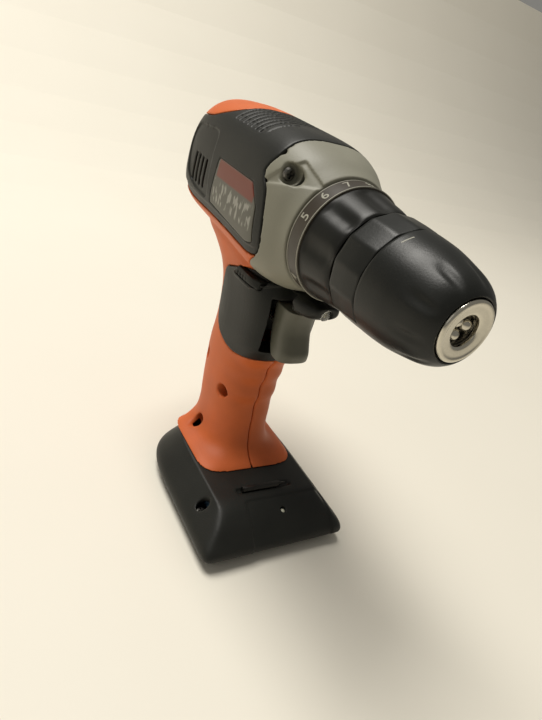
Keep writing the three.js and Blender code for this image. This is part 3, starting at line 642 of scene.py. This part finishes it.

# ---- Number band ---------------------------------------------------------------------------
# A dark brown ring with a raised pale line along each edge, and the clutch settings printed
# round it as numbers, with a gap after them where the real band has a small drill mark for no slip.
BAND_R = 25.2
band_brown = plastic("band_brown", (0.034, 0.026, 0.0175), 0.4, grain=0.06, mottle=0.1)
# The pale print of the band's lines and numbers; the same pale colour also paints a highlight on the
# front sleeve.
pale_print_and_glint = plastic("pale_print_and_glint", (0.32, 0.31, 0.255), 0.5, grain=0.04, mottle=0.12)
band = turned("number_ring", eased([
    (14.6, 21.8), (14.6, 24.9), (15.2, BAND_R - 0.12), (22.2, BAND_R - 0.22), (23, 24.8),
    (23, 21.8)], 0.25), 144)
fit(band, band_brown, "number_band", "torque_collar", "number_band")
for name, x in (("rear_band_line", 15.1), ("front_band_line", 22.4)):
    line = turned(name, eased([
        (x, 24.6), (x, BAND_R), (x + 0.42, BAND_R), (x + 0.42, 24.6)], 0.12), 144)
    fit(line, pale_print_and_glint, "number_band", "torque_collar")


def wrapped(piece, angle, x):
    """Bends a flat mark on to the band, its top towards the gear case."""
    for vertex in piece.data.vertices:
        across, up, out = vertex.co / MM
        turn = math.radians(angle) - across / BAND_R
        r = BAND_R - 0.12 + out
        vertex.co = Vector((x - up, -r * math.sin(turn), AXIS + r * math.cos(turn))) * MM


for k, mark in enumerate(["5", "6", "7", "8", "9", "10", "11", "12", "1", "2", "3", "4"]):
    rest_all()
    bpy.ops.object.text_add()
    number = bpy.context.object
    number.name = f"band_number_{mark}"
    number.data.body = mark
    number.data.size = 6.2 * MM
    number.data.extrude = 0.06 * MM
    number.data.offset = 0.05 * MM
    number.data.align_x, number.data.align_y = "CENTER", "CENTER"
    number.data.resolution_u = 3
    bpy.ops.object.convert(target="MESH")
    wrapped(number, 69 - 24.5 * k if k < 8 else 69 - 24.5 * (k + 1.2), 18.9)
    fit(number, pale_print_and_glint, "number_band", "torque_collar")

# ---- Chuck sleeves -------------------------------------------------------------------------
# Two satin black sleeves of glass-filled nylon. The rear one has broad flats and is fixed to
# the spindle; the front one turns to open and close the jaws, with shallow finger hollows
# round its nose.
SEAM_X = 57.1
FLATS = 14
HOLLOWS = 9
sleeve_black = plastic(
    "sleeve_black", (0.0095, 0.0102, 0.0088), 0.38, grain=0.1, mottle=0.12, specular=0.32)


def flatted(x, radius, angle):
    if radius < 20.5:
        return radius
    step = 2 * math.pi / FLATS
    off = (angle + 0.1) % step - step / 2
    flat = radius * math.cos(step / 2) / math.cos(off)
    return min(radius, flat + 0.18) * 0.5 + flat * 0.5


def hollowed(x, radius, angle):
    if radius < 13 or x < 70:
        return radius
    share = max(0.0, 1 - ((x - 81.5) / 6.5) ** 2)
    return radius - 0.75 * share * max(0.0, math.cos(HOLLOWS * angle)) ** 2


rear = turned("rear_sleeve_shell", eased([
    (40.9, 9.3), (40.9, 21.2), (42.4, 22.3), (50, 22.2), (SEAM_X - 0.3, 21.8), (SEAM_X - 0.3, 19.6),
    (43.4, 19.6), (43.4, 9.3)], 0.8), 224, flatted)
fit(rear, sleeve_black, "chuck_black", "chuck", "rear_sleeve")

nose = smooth_rows([
    (SEAM_X + 0.5, 21.68), (63, 21.4), (69, 20.8), (76, 19.4), (82, 17.9), (86, 16.1),
    (88.4, 14.2), (89.4, 12.9)], 5)
front = turned("front_sleeve_shell", [(SEAM_X, 18.6), (SEAM_X, 21.2), (SEAM_X + 0.14, 21.5)] + nose + [
    (89.2, 12.4), (84.4, 12.4), (80.4, 15.5), (66, 15.5), (65, 18.6)], 216, hollowed)
fit(front, sleeve_black, "chuck_black", "front_sleeve", "front_sleeve")

# A short pale stroke near the rear edge of the front sleeve: a painted highlight, where a small notch
# line on the sleeve catches the light.
glint_stroke = skin("sleeve_glint_stroke", [
    [(x, -21.55 * math.sin(a) * s, AXIS + 21.55 * math.cos(a) * s) for x, a, s in (
        (x0, a0, 0.99), (x0 + 0.5, a0, 0.99), (x0 + 0.5, a0, 1.001), (x0, a0, 1.001))]
    for x0, a0 in [(60.2 + 0.05 * k, math.radians(37 - 1.7 * k)) for k in range(9)]])
fit(glint_stroke, pale_print_and_glint, "chuck_black", "front_sleeve")

# ---- Chuck body, nose ring and jaws --------------------------------------------------------
# Ground and polished steel. Three jaws slide in slanted bores of the body, and their rounded
# tips show inside the ring at the nose.


def steel(name, colour, roughness, lines=0.05, scale=(60, 900, 900)):
    """Bright steel with fine turning marks and a little unevenness in its polish."""
    material = bpy.data.materials.new(name)
    material.use_nodes = True
    nodes, links = material.node_tree.nodes, material.node_tree.links
    shader = nodes["Principled BSDF"]
    shader.inputs["Metallic"].default_value = 1
    coordinates = nodes.new("ShaderNodeTexCoord")
    stretch = nodes.new("ShaderNodeMapping")
    stretch.inputs["Scale"].default_value = scale
    links.new(coordinates.outputs["Object"], stretch.inputs["Vector"])
    marks = nodes.new("ShaderNodeTexNoise")
    marks.inputs["Scale"].default_value = 1
    marks.inputs["Detail"].default_value = 3
    links.new(stretch.outputs["Vector"], marks.inputs["Vector"])
    tint = nodes.new("ShaderNodeValToRGB")
    tint.color_ramp.elements[0].color = (*[c * 0.86 for c in colour], 1)
    tint.color_ramp.elements[1].color = (*[min(c * 1.1, 1) for c in colour], 1)
    links.new(marks.outputs["Fac"], tint.inputs["Fac"])
    links.new(tint.outputs["Color"], shader.inputs["Base Color"])
    gloss = nodes.new("ShaderNodeMapRange")
    gloss.inputs["To Min"].default_value = roughness * 0.7
    gloss.inputs["To Max"].default_value = roughness * 1.35
    links.new(marks.outputs["Fac"], gloss.inputs["Value"])
    links.new(gloss.outputs["Result"], shader.inputs["Roughness"])
    bump = nodes.new("ShaderNodeBump")
    bump.inputs["Strength"].default_value = lines
    bump.inputs["Distance"].default_value = 0.0002
    links.new(marks.outputs["Fac"], bump.inputs["Height"])
    links.new(bump.outputs["Normal"], shader.inputs["Normal"])
    return material


def clad(material, *names):
    for name in names:
        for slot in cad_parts[name].material_slots:
            slot.material = material


polished_steel = steel("polished_steel", (0.62, 0.585, 0.5), 0.2)
tool_steel = steel("tool_steel", (0.5, 0.48, 0.43), 0.3)
dark_steel = steel("dark_steel", (0.16, 0.155, 0.145), 0.38)
# Near-black steel used as painted shade: it darkens the deep screw holes in the handle and the groove
# the driver bit lies in.
painted_shade_steel = steel("painted_shade_steel", (0.045, 0.043, 0.04), 0.42)
ring = turned("nose_ring_bezel", eased([
    (87.7, 6), (87.7, 12), (89.2, 12), (90.2, 11.7), (90.5, 10.7), (90.1, 9.6), (89.9, 7),
    (89.4, 5.9)], 0.5), 144)
fit(ring, polished_steel, "steel", "chuck", "nose_ring")

JAW_TILT = math.radians(15)
JAW_WEDGE = [(0, 0.35), (23, 13.6), (23, 30), (-23, 30), (-23, 13.6)]
JAW_R, JAW_LENGTH, JAW_TIP = 2.9, 26.9, (88, 0, 3)
JAW_BALL, JAW_BALL_X = 2.5, 85.7
JAW_DIRECTION = Vector((math.cos(JAW_TILT), 0, -math.sin(JAW_TILT)))
for k in range(3):
    tip = Vector(JAW_TIP)
    jaw = peg(tip - JAW_DIRECTION * JAW_LENGTH, tip + JAW_DIRECTION * 3, JAW_R, around=48)
    wedge = skin("jaw_wedge", [[(x, y, z) for y, z in JAW_WEDGE] for x in (0, JAW_BALL_X)])
    keep(jaw, wedge)
    rest_all()
    bpy.ops.mesh.primitive_uv_sphere_add(segments=40, ring_count=24, radius=JAW_BALL * MM,
                                         location=[c * MM for c in (JAW_BALL_X, 0, 3.1)])
    bpy.ops.object.transform_apply(location=True)
    join(jaw, bpy.context.object)
    turn = 2 * math.pi * k / 3 + math.pi / 4
    for vertex in jaw.data.vertices:
        x, y, z = vertex.co
        vertex.co = (x, y * math.cos(turn) - z * math.sin(turn),
                     y * math.sin(turn) + z * math.cos(turn) + AXIS * MM)
    jaw.name = f"chuck_jaw_{k + 1}"
    apply_modifier(jaw, "BEVEL", width=0.5 * MM, segments=3, limit_method="ANGLE",
                   angle_limit=math.radians(40))
    bpy.ops.object.shade_smooth_by_angle(angle=math.radians(35))
    fit(jaw, polished_steel, "steel", f"jaw_{k + 1}", f"jaw_{k + 1}")
clad(tool_steel, "chuck_body", "jaw_nut", "spindle", "spindle_bearing")

# ---- Battery foot --------------------------------------------------------------------------
# A black tray under the handle that holds three cells. Its sides are wide chamfers, its front
# slopes to a lip, and a hollow panel with the charge light lies ahead of the tool's own bit.
# z, rear x, front x, half width
FOOT = [
    (3.2, -40.2, 46.8, 40.2), (5.6, -41.4, 51, 41.1), (7.6, -41.8, 51.4, 41.29),
    (10, -41.6, 50.2, 40.4),
    (12.6, -40.8, 47.6, 38.2), (16.6, -39, 43.2, 34.2), (19.9, -37.4, 37.6, 30.8),
    (21.4, -36.4, 33.4, 29.4), (21.9, -35.6, 29.6, 28.6)]
LED_X, LED_Y = 38.5, 5.6
BIT_X, BIT_HALF, BIT_Z = 25, 13, 22.6


def foot_form(inset=0.0):
    return skin("foot_form", [
        squared_ring(96, 22, lambda u, v: (
            (rear + front) / 2 + u * ((front - rear) / 2 - inset), v * (width - inset),
            z - (inset if i else (1 if inset > 0 else 0))), 3.6)
        for i, (z, rear, front, width) in enumerate(smooth_rows(FOOT, 3))])


foot = cut(foot_form(), foot_form(1.7))
for y in (-18.6, 0, 18.6):
    cut(foot, peg((-32.3, y, 10.9), (33.3, y, 10.9), 9.45))
cut(foot, block(-30, -4, -9, 9, 10, 40), peg((BIT_X, -16, BIT_Z), (BIT_X, 16, BIT_Z), 2.1),
    peg((LED_X, LED_Y, 0), (LED_X, LED_Y, 40), 1.5), peg((-8, 30, 8.6), (-8, 60, 8.6), 4.5),
    peg((BIT_X, -33.4, 5), (BIT_X, -33.4, 40), 3), peg((BIT_X, 33.4, 5), (BIT_X, 33.4, 40), 3))
PANEL = [(31.6, -15), (31.6, 33.4), (60, 33.4), (60, -15)]
panel = skin("panel", [[(x, y, z) for x, y in eased(PANEL, 3)] for z in (-5, 60)])
cut(foot, cut(panel, foot_form(0.55)))
mould(foot, 0.5, 3)
foot.name = "battery_foot"
fit(foot, black_nylon, "black_plastic", "frame", "foot_housing")

# ---- Screws --------------------------------------------------------------------------------
# Pan heads with a cross recess, deep in the pockets of the mouldings. In the gear case and the foot
# they are zinc-plated but drawn in dark steel, and in the gear case that dark is painted shade for the
# pockets. In the handle they are drawn larger and near-black, as painted shade for the deep holes.
SCREW_HEAD = [(-1.7, 0), (-1.7, 2.5), (-1.5, 2.7), (-0.7, 2.7), (-0.2, 2.3), (0, 1.6), (0, 0)]
screw = turned("screw", SCREW_HEAD, 32, centre=0, closed=False)
for turn in (0, 1):
    y, z = (0.42, 1.7) if turn else (1.7, 0.42)
    cut(screw, block(-1.1, 1, -y, y, -z, z))
join(screw, peg((-5, 0, 0), (-1.4, 0, 0), 1.3, around=20))


def drive_screw(node, place, turn, finish=dark_steel, wider=1.0):
    """A copy of the screw with its head at a place, turned from the long axis."""
    copy = twin(screw, f"{node}_head")
    for vertex in copy.data.vertices:
        vertex.co = turn @ (vertex.co * wider) + Vector(place) * MM
    rest_all()
    copy.select_set(True)
    bpy.context.view_layer.objects.active = copy
    bpy.ops.object.shade_smooth_by_angle(angle=math.radians(35))
    fit(copy, finish, "dark_steel", "frame", node)


to_right = Vector((1, 0, 0)).rotation_difference(Vector((0, -1, 0)))
to_top = Vector((1, 0, 0)).rotation_difference(Vector((0, 0, 1)))
# Handle screws: larger and near-black, painted shade that darkens their deep holes.
for k, (x, z, head) in enumerate(HANDLE_SCREWS):
    drive_screw(f"handle_screw_{k + 1}", (x, 2 - head, z), to_right, painted_shade_steel, 1.25)
# The gear case screws take the dark steel default: their dark heads are painted shade inside the
# pockets.
for k, (x, y, z) in enumerate(CASE_SCREWS):
    drive_screw(f"gear_case_screw_{k + 1}", (x + 2, y, z), Quaternion())
for k, y in enumerate((-33.4, 33.4)):
    drive_screw(f"foot_screw_{k + 1}", (BIT_X, y, 12.6), to_top)
bpy.data.objects.remove(screw)

# ---- Driver bit and charge light -----------------------------------------------------------
# A hexagonal bit with a cross point lies in a groove of the foot, drawn near-black as painted shade for
# the dark groove, and a milky light pipe stands in the panel ahead of it.
bit = peg((BIT_X, -BIT_HALF, BIT_Z), (BIT_X, BIT_HALF - 5, BIT_Z), 1.68, around=6)
join(bit, peg((BIT_X, BIT_HALF - 6, BIT_Z), (BIT_X, BIT_HALF - 3.4, BIT_Z), 1.15, around=32),
     peg((BIT_X, BIT_HALF - 4, BIT_Z), (BIT_X, BIT_HALF, BIT_Z), 1.15, 0.35, around=32))
bit.name = "cross_point_bit"
apply_modifier(bit, "BEVEL", width=0.15 * MM, segments=2, limit_method="ANGLE",
               angle_limit=math.radians(40))
bpy.ops.object.shade_smooth_by_angle(angle=math.radians(30))
# Near-black: painted shade for the groove the bit lies in.
fit(bit, painted_shade_steel, "steel", "driver_bit", "driver_bit")

milky = plastic("milky_plastic", (0.62, 0.62, 0.50), 0.3, grain=0.03)
pipe = peg((LED_X, LED_Y, 12), (LED_X, LED_Y, 17.2), 1.2)
join(pipe, peg((LED_X, LED_Y, 17.1), (LED_X, LED_Y, 17.7), 1.2, 0.5))
pipe.name = "light_pipe"
apply_modifier(pipe, "BEVEL", width=0.15 * MM, segments=2, limit_method="ANGLE",
               angle_limit=math.radians(40))
bpy.ops.object.shade_smooth_by_angle(angle=math.radians(30))
fit(pipe, milky, "clear_plastic", "frame", "charge_light")

# ---- Pieces inside and below ---------------------------------------------------------------
# The plate under the foot, the cells and circuit board it closes in, and the motor, switch and
# planet gears in the body: they keep their own shapes and take their real finishes.
clad(black_nylon, "base_cover", "switch_module", "charge_socket")
clad(plastic("cell_wrap", (0.05, 0.16, 0.29), 0.3, grain=0.04),
     *[f"battery_cell_{k}" for k in (1, 2, 3)])
clad(plastic("board_green", (0.02, 0.10, 0.04), 0.35, grain=0.1, grain_scale=500), "circuit_board")
clad(plastic("diode_yellow", (0.75, 0.68, 0.35), 0.2, grain=0.03), "lamp_led")
clad(dark_steel, "motor", "ring_gear_1", "ring_gear_2")
clad(steel("cast_metal", (0.4, 0.39, 0.36), 0.5, lines=0.15, scale=(500, 500, 500)), "gearbox_housing")
clad(tool_steel, "motor_pinion", "first_carrier", "clutch_spring", "trigger_spring",
     *[f"planet_gear_{stage}{letter}" for stage in (1, 2) for letter in "abc"])
